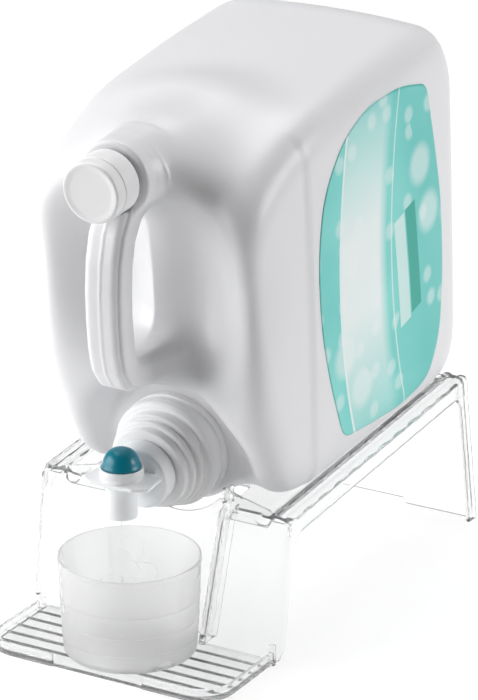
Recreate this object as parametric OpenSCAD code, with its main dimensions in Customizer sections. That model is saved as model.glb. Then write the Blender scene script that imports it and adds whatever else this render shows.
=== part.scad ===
// Detergent dispenser bottle: jug with a push tap, lying in a clear cradle with a cup shelf.
// Millimetres, +Z up, -Y front. Origin: centre of the overall footprint, on the floor.

/* [Jug] */
// width of the jug between the side panels
jug_w = 160; // [140:1:164]
// wall thickness of the jug
jug_wall = 2.6; // [1.5:0.1:4]
// height of the jug body as it lies
jug_h = 247; // [225:1:252]
// half the depth of the handle
grip_r = 10.5; // [9:0.5:12]
// half the width of the handle
grip_w = 13; // [11:0.5:14]
// height of the crown across the top
dome = 5; // [0:0.5:8]
// tilt of the jug and the cradle rails
tilt = 4.1; // [2:0.1:6]

/* [Tap] */
// downward tilt of the tap closure
tap_tilt = 7; // [4:0.5:9]
// outer radius of the closure skirt
closure_r = 34.8; // [34:0.1:37]
// radius of the push button
button_r = 12.25; // [11:0.05:12.25]
// outer radius of the nozzle
nozzle_r = 9.9; // [9:0.1:11]
// height of the nozzle mouth above the floor
nozzle_z = 96; // [94:0.5:98]

/* [Vent cap] */
// outer radius of the vent cap
vent_r = 19.4; // [18.5:0.1:20]
// length of the vent cap
vent_len = 24; // [20:0.5:25]

/* [Cradle] */
// overall width of the cradle
cradle_w = 180; // [176:1:190]
// wall thickness of the clear plastic
clear_t = 3; // [2.5:0.1:3.5]
// rail height at the front
rail_front_z = 93; // [92:0.5:94]
// length of the rails from front to rear
rail_len = 232; // [228:1:240]
// depth of the flange along the outside of each rail
flange_h = 13; // [10:0.5:16]
// how far the front foot stands forward of the rails
front_splay = 12.3; // [8:0.5:14]
// how far the rear foot stands behind the rails
rear_splay = 20; // [15:0.5:24]

/* [Shelf and cup] */
// radius of the cup rim
cup_r = 44.5; // [42:0.5:45]
// height of the cup
cup_h = 63; // [55:0.5:66]
// wall thickness of the cup
cup_wall = 1.6; // [1.2:0.1:2.5]
// height of the shelf rim
shelf_rim = 8; // [6:0.5:10]

/* [Hidden] */
origin_y = 82.9;
half = cradle_w / 2;
grip_flat = grip_w / grip_r;
hinge_y = 200;
hinge_z = 118;
bottom = -15;
top = bottom + jug_h;
side_x = jug_w / 2;
nozzle_y = -53;
// underside of the button at rest, and the floor it is pressed down to
button_z = 127.3;
well_z = 123.1;
spring_z = 107;
spring_turns = 6;
cup_x = -1;
cup_y = -43;
cup_z = 3.4;
rail_tilt = tilt;
rail_rear_z = rail_front_z + rail_len * tan(rail_tilt);
front_angle = atan(front_splay / rail_front_z);
rear_angle = atan(rear_splay / rail_rear_z);
neck_y = -201.5;
neck_z = 14.4;
vent_y = -270;
vent_z = 213.5;

// ---------- frames ----------
// jug frame: rear bottom edge of the jug, tilted with the rails
module in_jug() {
    translate([0, hinge_y - origin_y, hinge_z])
        rotate([tilt, 0, 0])
            children();
}

// tap frame: +Z runs out of the jug along the closure axis
module in_tap() {
    translate([0, hinge_y - origin_y, hinge_z])
        rotate([tilt, 0, 0])
            translate([0, neck_y, neck_z])
                rotate([90 + tap_tilt - tilt, 0, 0])
                    children();
}

// vent frame: +Z runs out of the jug, zero at the cap face
module in_vent() {
    translate([0, hinge_y - origin_y, hinge_z])
        rotate([tilt, 0, 0])
            translate([0, vent_y, vent_z])
                rotate([90, 0, 0])
                    children();
}

// nozzle frame: vertical axis of the push button, heights above the floor
module in_nozzle() {
    translate([0, nozzle_y - origin_y, 0])
        children();
}

// ---------- jug form ----------
function smax(a, b, k) = let(h = max(k - abs(a - b), 0)) max(a, b) + h * h / (4 * k);
function smin(a, b, k) = -smax(-a, -b, k);
function flat(y, z, y0, z0, an) = (y - y0) * cos(an) + (z - z0) * sin(an);
function clamp(v) = max(0, min(1, v));
function egg(x, y, z, c, r) = let(
    qx = (x - c[0]) / r[0],
    qy = (y - c[1]) / r[1],
    qz = (z - c[2]) / r[2],
    k0 = sqrt(qx * qx + qy * qy + qz * qz),
    k1 = sqrt(pow(qx / r[0], 2) + pow(qy / r[1], 2) + pow(qz / r[2], 2)) + 0.000001)
    k0 * (k0 - 1) / k1;
function rod(p, a, b, r) = let(
    ab = b - a,
    t = clamp(((p - a) * ab) / (ab * ab)))
    norm(p - a - t * ab) - r;
function crown(y, z) = 3 * clamp(1 - pow((y + 75) / 140, 2)) * clamp(1 - pow((z - 110) / 130, 2));

// outline of the body seen from the side
function outline_d(y, z) = let(
    front = smax(smax(flat(y, z, -203, 208, 134), flat(y, z, -241, 140, 181), 44),
        smax(flat(y, z, -229, 90, 198), flat(y, z, -199, 10, 212), 24), 44),
    upper = smax(z - top, flat(y, z, -120, top, 99), 20))
    smax(smax(smax(front, upper, 40), bottom - z, 24), y - 45, 30 + 12 * clamp((z - 150) / 60));

// a point given in the jug frame, seen along the tap axis: distance from it and height on it
function on_tap(p) = let(
    an = tap_tilt - tilt,
    y = p[1] - neck_y,
    z = p[2] - neck_z)
    [norm([p[0], z * cos(an) - y * sin(an)]), -y * cos(an) - z * sin(an)];

// signed distance of the jug body without its handle and necks
function jug_d(p) = let(
    ax = abs(p[0]),
    y = p[1],
    z = p[2],
    rise = dome * clamp(1 - pow(ax / side_x, 2)) * clamp((z - 120) / 100),
    side = ax - side_x - crown(y, z) + 1.6 * clamp(-(y + 152) / 6),
    block = smax(outline_d(y, z - rise), side, 21),
    spout = smin(rod([ax, y, z], [0, -218, 211], [0, -200, 208], 22),
        rod([ax, y, z], [0, -192, 192], [0, -150, 196], 36), 24),
    pocket = egg(ax, y, z, [29, -256, 128], [33, 66, 66]),
    hole = smax(smax(abs(y + 225) - 21, abs(z - 134) - 54, 24), ax - 40, 30),
    cut = smax(smax(smin(block, spout, 40), -pocket, 26), -hole, 12),
    shoulder = smin(cut, rod([ax, y, z], [0, -166, 26], [0, -148, 31], 38), 24),
    t = on_tap(p),
    faced = smax(shoulder, -smax(t[0] - 50, -20.6 - t[1], 16), 20))
    smax(faced, bottom - z + 0.8 * min(y + 166, 0), 5);

heart = [0, -92, 112];
function cast(o, d, t, inset, n) =
    n == 0 ? t : cast(o, d, t + 0.9 * (jug_d(o + t * d) + inset), inset, n - 1);
function skin(b, inset) = let(d = (heart - b) / norm(heart - b)) b + d * cast(b, d, 0, inset, 16);

// closed surface over a box lattice, each point cast inward onto the body
module jug_solid(xs, ys, zs, inset) {
    nx = len(xs);
    ny = len(ys);
    nz = len(zs);
    ring = 2 * (nx - 1) + 2 * (ny - 1);
    rim = [
        for (i = [0 : nx - 2]) [i, 0],
        for (j = [0 : ny - 2]) [nx - 1, j],
        for (i = [nx - 1 : -1 : 1]) [i, ny - 1],
        for (j = [ny - 1 : -1 : 1]) [0, j]];
    pts = [
        for (i = [0 : nx - 1]) for (j = [0 : ny - 1]) skin([xs[i], ys[j], zs[0]], inset),
        for (i = [0 : nx - 1]) for (j = [0 : ny - 1]) skin([xs[i], ys[j], zs[nz - 1]], inset),
        for (k = [1 : nz - 2]) for (q = rim) skin([xs[q[0]], ys[q[1]], zs[k]], inset)];
    function at(k, r) = let(m = r % ring, q = rim[m])
        k == 0 ? q[0] * ny + q[1] :
        k == nz - 1 ? nx * ny + q[0] * ny + q[1] :
        2 * nx * ny + (k - 1) * ring + m;
    quads = [
        for (i = [0 : nx - 2]) for (j = [0 : ny - 2])
            [i * ny + j, (i + 1) * ny + j, (i + 1) * ny + j + 1, i * ny + j + 1],
        for (i = [0 : nx - 2]) for (j = [0 : ny - 2]) let(o = nx * ny)
            [o + i * ny + j, o + i * ny + j + 1, o + (i + 1) * ny + j + 1, o + (i + 1) * ny + j],
        for (k = [0 : nz - 2]) for (r = [0 : ring - 1])
            [at(k, r), at(k + 1, r), at(k + 1, r + 1), at(k, r + 1)]];
    faces = [
        for (f = quads) [f[0], f[1], f[2]],
        for (f = quads) [f[0], f[2], f[3]]];
    polyhedron(points = pts, faces = faces, convexity = 6);
}

fine_x = [-88, -83, -77, -70, -61, -48, -34, -20, -7, 7, 20, 34, 48, 61, 70, 77, 83, 88];
fine_y = [-252, -245, -237, -228, -218, -206, -192, -176, -158, -136, -110, -80, -50, -22, 0, 14,
    24, 32, 39, 45, 50];
fine_z = [-20, -15, -9, -2, 7, 18, 32, 48, 66, 84, 102, 120, 138, 155, 170, 184, 196, 207, 216,
    224, 231, 237];
coarse_x = [-88, -80, -68, -50, -25, 0, 25, 50, 68, 80, 88];
coarse_y = [-252, -240, -222, -200, -172, -135, -90, -45, -10, 18, 38, 50];
coarse_z = [-20, -10, 6, 30, 58, 88, 118, 148, 174, 198, 216, 229, 237];

// one straight length of the handle, oval across
module grip_link(a, b, inset) {
    hull()
        for (end = [a, b])
            translate(end)
                scale([grip_flat, 1, 1])
                    sphere(r = grip_r - inset, $fn = 30);
}

module grip(inset) {
    grip_link([0, -228, 197], [0, -245, 179], inset);
    grip_link([0, -245, 179], [0, -255.5, 152], inset);
    grip_link([0, -255.5, 152], [0, -255.5, 102], inset);
    grip_link([0, -255.5, 102], [0, -246, 88], inset);
    grip_link([0, -246, 88], [0, -186, 85], inset);
}

module bottle_shell() {
    color([0.93, 0.93, 0.94])
        difference() {
            union() {
                in_jug() {
                    jug_solid(fine_x, fine_y, fine_z, 0);
                    grip(0);
                }
                // large neck under the tap closure
                in_tap() {
                    translate([0, 0, -44])
                        cylinder(r = 30.5, h = 44, $fn = 72);
                    translate([0, 0, -34])
                        cylinder(r1 = 40, r2 = 38.8, h = 17.6, $fn = 72);
                }
                // small neck under the vent cap
                in_vent() {
                    translate([0, 0, -70])
                        cylinder(r1 = 21, r2 = 22.6, h = 42, $fn = 64);
                    translate([0, 0, -40])
                        cylinder(r = 23.6, h = 12.4, $fn = 64);
                    translate([0, 0, -40])
                        cylinder(r = 14.2, h = 37, $fn = 48);
                    translate([0, 0, -12])
                        cylinder(r = 15.1, h = 2, $fn = 48);
                    translate([0, 0, -18])
                        cylinder(r = 15.1, h = 2, $fn = 48);
                }
            }
            in_jug() {
                jug_solid(coarse_x, coarse_y, coarse_z, jug_wall + 0.6);
                grip(jug_wall);
            }
            in_tap() {
                translate([0, 0, -60])
                    cylinder(r = 27.5, h = 70, $fn = 72);
            }
            in_vent() {
                translate([0, 0, -70])
                    cylinder(r = 11.8, h = 80, $fn = 48);
            }
        }
}

// ---------- labels ----------
function side_at(y, z, x, n) =
    n == 0 ? x : side_at(y, z, x - 0.9 * jug_d([x, y, z]), n - 1);
label_edge = [[-3, 202], [-28, 209], [-56, 212], [-84, 210], [-106, 204], [-124, 192],
    [-135, 174], [-142, 152], [-145, 128], [-144, 102], [-140, 76], [-134, 50], [-127, 28],
    [-121, 14], [-112, 8], [-86, 3], [-60, -1], [-34, -2], [-12, 3], [6, 18], [14, 36],
    [18, 62], [19, 92], [17, 122], [13, 150], [7, 178]];
label_mid = [-64, 106];
label_rings = [0.2, 0.4, 0.6, 0.8, 0.93, 1];

// thin film that follows the side panel, on the side given by s
module label_film(s) {
    n = len(label_edge);
    m = len(label_rings);
    flat_pts = [
        label_mid,
        for (q = label_rings) for (e = label_edge) label_mid + q * (e - label_mid)];
    count = len(flat_pts);
    pts = [
        for (p = flat_pts) [s * (side_at(p[0], p[1], 90, 14) + 0.45), p[0], p[1]],
        for (p = flat_pts) [s * (side_at(p[0], p[1], 90, 14) + 0.05), p[0], p[1]]];
    function at(q, e) = 1 + q * n + e % n;
    tris = [
        for (e = [0 : n - 1]) [0, at(0, e), at(0, e + 1)],
        for (q = [0 : m - 2]) for (e = [0 : n - 1]) [at(q, e), at(q + 1, e), at(q + 1, e + 1)],
        for (q = [0 : m - 2]) for (e = [0 : n - 1]) [at(q, e), at(q + 1, e + 1), at(q, e + 1)]];
    walls = [
        for (e = [0 : n - 1]) [at(m - 1, e), at(m - 1, e) + count, at(m - 1, e + 1)],
        for (e = [0 : n - 1])
            [at(m - 1, e + 1), at(m - 1, e) + count, at(m - 1, e + 1) + count]];
    all_faces = concat(tris, [for (f = tris) [f[2] + count, f[1] + count, f[0] + count]], walls);
    polyhedron(points = pts,
        faces = s > 0 ? all_faces : [for (f = all_faces) [f[2], f[1], f[0]]], convexity = 4);
}

module label_right() {
    color([0.45, 0.78, 0.76])
        in_jug()
            label_film(1);
}

module label_left() {
    color([0.45, 0.78, 0.76])
        in_jug()
            label_film(-1);
}

// ---------- tap ----------
module neck_gasket() {
    color([0.75, 0.76, 0.78])
        in_tap()
            translate([0, 0, 0.1])
                difference() {
                    cylinder(r = 30.2, h = 1.6, $fn = 72);
                    translate([0, 0, -1])
                        cylinder(r = 25.5, h = 4, $fn = 72);
                }
}

module tap_closure() {
    color([0.92, 0.92, 0.93])
        in_tap()
            difference() {
                rotate_extrude($fn = 96)
                    polygon([
                        [0, -16], [35.6, -16], [36, -15.4], [36, -10.4], [35.5, -9.9],
                        [34.9, -9.7], [34.9, -8.1], [closure_r + 0.8, -7.4],
                        [closure_r + 0.8, -0.4], [closure_r, 0.6], [33.2, 1.6], [31.6, 2],
                        [31.2, 3.4], [30.2, 4], [30.2, 8.6], [29.6, 9.2], [28, 9.4],
                        [28, 11], [29.2, 11.4], [29.2, 14], [28.4, 14.8], [26.4, 15],
                        [26.2, 19.8], [25.6, 20.4], [0, 20.4]]);
                // skirt bore over the large neck
                translate([0, 0, -17])
                    cylinder(r = 30.9, h = 18.8, $fn = 72);
                // passage and seat of the tap boss
                translate([0, 0, 1])
                    cylinder(r = 15.05, h = 22, $fn = 64);
                // shallow window in the side of the stepped ring
                rotate([0, 0, -4])
                    translate([28.2, -12, 4.6])
                        cube([6, 24, 3]);
            }
}

wing = [[0, -13.6], [15, -13.2], [23.5, -7.5], [21.5, 11.2], [14.2, 14.2], [13.2, 17], [0, 17]];
wing_z = 118.4;

module tap_body() {
    color([0.93, 0.94, 0.95])
        difference() {
            union() {
                // boss and its plug inside the closure
                in_tap() {
                    rotate_extrude($fn = 80)
                        polygon([
                            [0, 2], [14.95, 2], [14.95, 20.6], [20.8, 20.6], [20.8, 31.6],
                            [20, 32.8], [18, 33.3], [0, 33.3]]);
                }
                // vertical barrel, collar and nozzle
                in_nozzle() {
                    rotate_extrude($fn = 72)
                        polygon([
                            [0, nozzle_z], [nozzle_r - 0.5, nozzle_z],
                            [nozzle_r, nozzle_z + 0.5], [nozzle_r + 0.2, 118],
                            [10.4, 119.4], [13.4, 122.8], [13.6, 127.8], [13.2, 128.2], [0, 128.2]]);
                    // finger wings
                    translate([0, 0, wing_z])
                        linear_extrude(height = 2.3)
                            polygon(concat(wing,
                                [for (i = [len(wing) - 2 : -1 : 1]) [-wing[i][0], wing[i][1]]]));
                }
                // link from the boss to the barrel
                translate([0, -30 - origin_y, 113.6])
                    rotate([90, 0, 0])
                        cylinder(r = 8.6, h = 20, $fn = 48);
            }
            // flow passage along the boss
            in_tap() {
                translate([0, 0, 1])
                    cylinder(r = 11, h = 27, $fn = 48);
            }
            translate([0, -26 - origin_y, 113.6])
                rotate([90, 0, 0])
                    cylinder(r = 5, h = 26, $fn = 40);
            // button well, chamber, seat and mouth
            in_nozzle() {
                translate([0, 0, well_z])
                    cylinder(r = 12.35, h = 10, $fn = 72);
                translate([0, 0, 106])
                    cylinder(r = 8, h = 18, $fn = 56);
                translate([0, 0, 101])
                    cylinder(r = 5, h = 7, $fn = 40);
                translate([0, 0, nozzle_z - 1])
                    cylinder(r = 8, h = 8, $fn = 56);
            }
        }
}

module push_button() {
    color([0.05, 0.42, 0.47])
        in_nozzle()
            difference() {
                rotate_extrude($fn = 72)
                    polygon([
                        [0, button_z], [button_r, button_z], [button_r, 128.8], [11.9, 130],
                        [11.4, 131.4], [10.9, 133.4], [9.9, 135.8], [8.4, 137.6],
                        [6.4, 139.1], [4.2, 139.9], [2.1, 140.2], [0, 140.3]]);
                // socket for the stem
                translate([0, 0, 124])
                    cylinder(r = 2.2, h = 6, $fn = 32);
            }
}

module button_spring() {
    color([0.72, 0.73, 0.75])
        in_nozzle()
            for (k = [0 : spring_turns])
                translate([0, 0, spring_z + k * (button_z - 0.65 - spring_z) / spring_turns])
                    rotate_extrude($fn = 40)
                        translate([5, 0])
                            circle(r = 0.6, $fn = 12);
}

module valve_stem() {
    color([0.9, 0.9, 0.92])
        in_nozzle() {
            translate([0, 0, 101.6])
                cylinder(r = 2.15, h = 28, $fn = 32);
            translate([0, 0, 99])
                cylinder(r = 5.6, h = 1, $fn = 40);
            translate([0, 0, 99])
                cylinder(r = 2.15, h = 3, $fn = 32);
        }
}

module valve_seal() {
    color([0.2, 0.2, 0.22])
        in_nozzle()
            translate([0, 0, 100.02])
                difference() {
                    cylinder(r = 7.2, h = 2.9, $fn = 48);
                    translate([0, 0, -1])
                        cylinder(r = 2.2, h = 5, $fn = 32);
                }
}

// ---------- vent cap ----------
module vent_cap() {
    color([0.94, 0.94, 0.95])
        in_vent()
            difference() {
                rotate_extrude($fn = 80)
                    polygon([
                        [0, -vent_len], [vent_r, -vent_len], [vent_r + 0.3, -vent_len + 1],
                        [vent_r + 0.3, -9.4], [vent_r - 0.2, -8.9], [vent_r - 0.2, -8.1],
                        [vent_r + 0.2, -7.6], [vent_r, -1.6], [vent_r - 0.6, -0.5],
                        [vent_r - 1.8, 0], [0, 0]]);
                translate([0, 0, -vent_len - 1])
                    cylinder(r = 17, h = vent_len - 1, $fn = 64);
            }
}

module vent_liner() {
    color([0.82, 0.84, 0.86])
        in_vent()
            translate([0, 0, -2.95])
                cylinder(r = 15.4, h = 0.9, $fn = 56);
}

// ---------- cup ----------
module dosing_cup() {
    color([0.9, 0.92, 0.94, 0.6])
        translate([cup_x, cup_y - origin_y, cup_z])
            difference() {
                rotate_extrude($fn = 96)
                    polygon([
                        [0, 0], [cup_r - 4.2, 0], [cup_r - 3, 1.2], [cup_r - 2.2, 12],
                        [cup_r - 1.7, 12.6], [cup_r - 1.8, 13.6], [cup_r - 1.4, 24],
                        [cup_r - 1, 24.6], [cup_r - 1.1, 25.6], [cup_r - 0.8, 38],
                        [cup_r - 0.4, 38.6], [cup_r - 0.5, 39.6], [cup_r - 0.2, cup_h - 3],
                        [cup_r, cup_h - 2.6], [cup_r, cup_h], [0, cup_h]]);
                translate([0, 0, 1.8])
                    cylinder(r1 = cup_r - 4.8, r2 = cup_r - cup_wall, h = cup_h, $fn = 96);
            }
}

// ---------- cradle ----------
// section of the right rail, heights measured from the rail top
rail_section = [[half, -flange_h], [half, -1], [half - 1, 0], [half - 5, 0], [half - 6.2, -1.4],
    [half - 10.2, -1.4], [half - 11.4, 0], [half - 15, 0], [half - 18.5, -4.4],
    [half - 22, -4.4], [half - 22, -4.4 - clear_t], [half - 17, -4.4 - clear_t],
    [half - 13.5, -clear_t], [half - clear_t, -clear_t - 1.2], [half - clear_t, -flange_h]];

module rail_frame() {
    translate([0, -origin_y, rail_front_z])
        rotate([rail_tilt, 0, 0])
            children();
}

module rail_bar() {
    rail_frame()
        translate([0, rail_len / cos(rail_tilt), 0])
            rotate([90, 0, 0])
                linear_extrude(height = rail_len / cos(rail_tilt))
                    polygon(rail_section);
}

module rail_right() {
    color([0.86, 0.9, 0.93, 0.35])
        rail_bar();
}

module rail_left() {
    color([0.86, 0.9, 0.93, 0.35])
        mirror([1, 0, 0])
            rail_bar();
}

// bed under the jug, open in the middle
module deck() {
    deck_w = 2 * (half - 22) - 0.1;
    color([0.86, 0.9, 0.93, 0.35])
        rail_frame()
            difference() {
                translate([-deck_w / 2, 6, -4.4 - clear_t])
                    cube([deck_w, rail_len - 10, clear_t]);
                // window under the middle of the jug
                translate([-40, 44, -20])
                    cube([80, 140, 40]);
                // clearance round the tap closure
                translate([0, 0, -60])
                    linear_extrude(height = 80)
                        polygon([[-42, -5], [42, -5], [39, 37], [-39, 37]]);
            }
}

// low wall that stops the jug, with an upright fin beside the neck
module stop_side() {
    translate([0, 3.6 - origin_y, 0])
        rotate([90, 0, 0])
            linear_extrude(height = clear_t)
                polygon([[39.4, 82.5], [half - 18, 82.5], [half - 16, 91.6], [half - 17, 94.6],
                    [48, 100.6], [42.4, 102.6], [39.4, 102.2]]);
    translate([39.4, 3.4 - origin_y, 84])
        cube([clear_t, 8.6, 18]);
}

module bottle_stops() {
    color([0.86, 0.9, 0.93, 0.35]) {
        stop_side();
        mirror([1, 0, 0])
            stop_side();
    }
}

// half plan of the front panel: wing, return and recessed middle
module front_wing() {
    // flat wing
    linear_extrude(height = clear_t)
        polygon([[31, 0], [half - 6, 0], [half - 1.6, 1.6], [half, 6],
            [half, rail_front_z - 1.6], [39.4, rail_front_z - 1.6]]);
    // return into the recess
    hull() {
        translate([31, 0, -16])
            cube([clear_t, 1, 16.5]);
        translate([39.4, rail_front_z - 12, -12])
            cube([clear_t, 1, 12.5]);
    }
    // outer edge flange
    translate([half - clear_t, 6, -9])
        cube([clear_t, rail_front_z - 8, 9.5]);
}

module front_panel() {
    color([0.86, 0.9, 0.93, 0.35])
        intersection() {
            translate([0, -front_splay - origin_y, 0])
                rotate([90 - front_angle, 0, 0]) {
                    difference() {
                        union() {
                            front_wing();
                            mirror([1, 0, 0])
                                front_wing();
                            // recessed middle
                            translate([0, 0, -16])
                                linear_extrude(height = clear_t)
                                    polygon([[-32, 0], [32, 0], [41, 84], [-41, 84]]);
                        }
                        // notch for the closure
                        translate([0, 119, -40])
                            cylinder(r = 40, h = 60, $fn = 72);
                    }
                }
            translate([-half, -60 - origin_y, 0])
                cube([cradle_w, 100, rail_front_z - 3.6]);
        }
}

module rear_panel() {
    h = rail_rear_z / cos(rear_angle);
    color([0.86, 0.9, 0.93, 0.35])
        intersection() {
            translate([0, rail_len + rear_splay - origin_y, 0])
                rotate([90 + rear_angle, 0, 0])
                    difference() {
                        union() {
                            translate([-half, -3, 0])
                                cube([cradle_w, h + 3, clear_t]);
                            // edge flanges
                            translate([-half, -3, 0])
                                cube([clear_t, h + 3, 11]);
                            translate([half - clear_t, -3, 0])
                                cube([clear_t, h + 3, 11]);
                        }
                        // raised middle of the lower edge
                        translate([-36, -4, -5])
                            cube([72, 7.5, 20]);
                    }
            translate([-half, 150 - origin_y, 0])
                cube([cradle_w, 120, rail_rear_z - 3.4]);
        }
}

// ---------- shelf ----------
module shelf_plan(inset) {
    hull() {
        translate([-half + 28, -63])
            circle(r = 22 - inset, $fn = 48);
        translate([half - 28, -63])
            circle(r = 22 - inset, $fn = 48);
        translate([-half + 6 + inset, -12.6])
            square([cradle_w - 12 - 2 * inset, 1]);
    }
}

module shelf_tray() {
    color([0.86, 0.9, 0.93, 0.35])
        translate([0, -origin_y, 0])
            difference() {
                linear_extrude(height = shelf_rim)
                    shelf_plan(0);
                translate([0, 0, 2.2])
                    linear_extrude(height = 20)
                        shelf_plan(2.4);
                // open back edge of the rim
                translate([-half + 8.6, -14, 2.2])
                    cube([cradle_w - 17.2, 10, 20]);
                // gap in the rim where the cup stands
                translate([-32, -100, 2.2])
                    cube([64, 30, 20]);
            }
}

module shelf_ribs() {
    color([0.86, 0.9, 0.93, 0.35])
        translate([0, -origin_y, 2.25])
            intersection() {
                linear_extrude(height = 1.1)
                    shelf_plan(2.5);
                for (k = [0 : 5])
                    translate([-half, -25.4 - k * 11.6, 0])
                        cube([cradle_w, 1.6, 2]);
            }
}

module shelf_pegs() {
    color([0.86, 0.9, 0.93, 0.35])
        translate([0, -origin_y, 0])
            for (x = [-half + 5, half - 5])
                translate([x, -16.4, 0]) {
                    cylinder(r = 2.4, h = 12, $fn = 32);
                    translate([0, 0, 12])
                        sphere(r = 2.4, $fn = 32);
                }
}

bottle_shell();
label_right();
label_left();
neck_gasket();
tap_closure();
tap_body();
push_button();
button_spring();
valve_stem();
valve_seal();
vent_cap();
vent_liner();
dosing_cup();
rail_right();
rail_left();
deck();
bottle_stops();
front_panel();
rear_panel();
shelf_tray();
shelf_ribs();
shelf_pegs();
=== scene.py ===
"""Looks for the detergent dispenser bottle: jug, tap, caps, labels, cup and clear cradle.

Shapes are worked out in millimetres in the part's own frames and written to meshes in metres.
"""

import math

import bmesh
import bpy
import numpy as np
from mathutils import Matrix, Vector


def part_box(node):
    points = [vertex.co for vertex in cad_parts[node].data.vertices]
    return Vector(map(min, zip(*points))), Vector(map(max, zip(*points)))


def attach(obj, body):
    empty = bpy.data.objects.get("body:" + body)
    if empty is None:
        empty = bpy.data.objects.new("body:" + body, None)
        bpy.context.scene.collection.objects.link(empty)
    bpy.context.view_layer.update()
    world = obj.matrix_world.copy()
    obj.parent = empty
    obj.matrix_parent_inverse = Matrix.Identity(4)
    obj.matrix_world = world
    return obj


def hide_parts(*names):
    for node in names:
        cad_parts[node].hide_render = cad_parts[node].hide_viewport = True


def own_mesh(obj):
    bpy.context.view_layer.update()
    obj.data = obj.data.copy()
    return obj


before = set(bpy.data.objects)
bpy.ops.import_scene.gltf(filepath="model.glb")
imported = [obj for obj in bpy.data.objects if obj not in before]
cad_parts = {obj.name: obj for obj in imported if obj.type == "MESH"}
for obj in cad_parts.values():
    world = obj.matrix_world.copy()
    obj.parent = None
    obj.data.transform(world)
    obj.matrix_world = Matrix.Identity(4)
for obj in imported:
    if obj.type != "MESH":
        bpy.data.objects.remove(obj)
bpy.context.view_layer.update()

MM = 0.001

# ---------- sizes and places, in millimetres ----------
rail_low, rail_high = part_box("rail_right")
FRONT_Y = rail_low[1] / MM  # the front end of the rails
HALF = rail_high[0] / MM  # half the width of the cradle
TILT = math.radians(4.1)
TAP_TILT = math.radians(7.0)
JUG_Y = FRONT_Y + 200.0
JUG_Z = 118.0
JUG_BOTTOM, JUG_TOP = -15.0, 232.0
DOME = 5.0
SIDE_X = 80.0
NECK = (0.0, -201.5, 14.4)
VENT = (0.0, -270.0, 213.5)
NOZZLE_Y = FRONT_Y - 53.0
NOZZLE_Z = 96.0
SPRING_FOOT = 106.4
BUTTON_FOOT = 127.3  # underside of the button at rest
RAIL_FRONT = 93.0
RAIL_LEN = 232.0
WALL = 3.0
FLANGE = 13.0
FRONT_SPLAY = 12.3
REAR_SPLAY = 20.0
CUP_Z = 3.4
CUP_R = 44.5
CUP_H = 63.0


# ---------- frames ----------
def turn_x(angle):
    return Matrix.Rotation(angle, 4, "X")


def shift(x, y, z):
    return Matrix.Translation((x, y, z))


IN_JUG = shift(0, JUG_Y, JUG_Z) @ turn_x(TILT)
IN_TAP = IN_JUG @ shift(*NECK) @ turn_x(math.radians(90) + TAP_TILT - TILT)
IN_VENT = IN_JUG @ shift(*VENT) @ turn_x(math.radians(90))
IN_NOZZLE = shift(0, NOZZLE_Y, 0)
IN_ROW = shift(0, FRONT_Y, 0)


def move(matrix, points):
    m = np.array(matrix)
    return points @ m[:3, :3].T + m[:3, 3]


def into(matrix, x, y, z):
    """Coordinates x, y, z seen from another frame."""
    m = np.array(matrix.inverted())
    return [m[i, 0] * x + m[i, 1] * y + m[i, 2] * z + m[i, 3] for i in range(3)]


# ---------- signed distance forms ----------
def smax(a, b, k):
    return np.maximum(a, b) + np.maximum(k - np.abs(a - b), 0) ** 2 / (4 * k)


def smin(a, b, k):
    return -smax(-a, -b, k)


def slope(y, z, y0, z0, degrees):
    a = math.radians(degrees)
    return (y - y0) * math.cos(a) + (z - z0) * math.sin(a)


def egg(x, y, z, centre, radii):
    q = [(v - c) / r for v, c, r in zip((x, y, z), centre, radii)]
    k0 = np.sqrt(q[0] ** 2 + q[1] ** 2 + q[2] ** 2)
    k1 = np.sqrt(sum((v / r) ** 2 for v, r in zip(q, radii))) + 1e-9
    return k0 * (k0 - 1) / k1


def rod(x, y, z, a, b, r):
    """A straight round bar from a to b."""
    a, b = np.array(a, float), np.array(b, float)
    ab = b - a
    px, py, pz = x - a[0], y - a[1], z - a[2]
    t = np.clip((px * ab[0] + py * ab[1] + pz * ab[2]) / (ab @ ab), 0, 1)
    return np.sqrt((px - t * ab[0]) ** 2 + (py - t * ab[1]) ** 2 + (pz - t * ab[2]) ** 2) - r


def disc(radius, z, r, low, high, k):
    """A cylinder between two heights with rounded rims."""
    return smax(radius - r, np.maximum(low - z, z - high), k)


def poly(u, v, points):
    """Signed distance to a closed polygon."""
    best = np.full(np.broadcast(u, v).shape, 1e9)
    inside = np.zeros(best.shape, bool)
    for (u0, v0), (u1, v1) in zip(points, points[1:] + points[:1]):
        eu, ev = u1 - u0, v1 - v0
        t = np.clip(((u - u0) * eu + (v - v0) * ev) / (eu * eu + ev * ev), 0, 1)
        best = np.minimum(best, (u - u0 - t * eu) ** 2 + (v - v0 - t * ev) ** 2)
        if v0 != v1:
            inside ^= ((v0 > v) != (v1 > v)) & (u < eu * (v - v0) / ev + u0)
    return np.where(inside, -1, 1) * np.sqrt(best)


# ---------- meshes ----------
def new_object(name, points, faces, matrix=None):
    """A smooth mesh object from points in millimetres, in the frame that matrix gives."""
    if matrix is not None:
        points = move(matrix, np.asarray(points, float))
    mesh = bpy.data.meshes.new(name)
    mesh.from_pydata((np.asarray(points) * MM).tolist(), [], [tuple(f) for f in faces])
    mesh.validate()
    mesh.shade_smooth()
    obj = bpy.data.objects.new(name, mesh)
    bpy.context.scene.collection.objects.link(obj)
    return obj


def spaced(*stops):
    """Grid lines from (start, end, step), (end, step), ... pieces."""
    start = stops[0][0]
    lines = [start]
    for stop in stops:
        end, step = stop[-2], stop[-1]
        n = max(1, round((end - lines[-1]) / (step * 1)))
        lines += list(np.linspace(lines[-1], end, n + 1)[1:])
    return np.array(lines)


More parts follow.
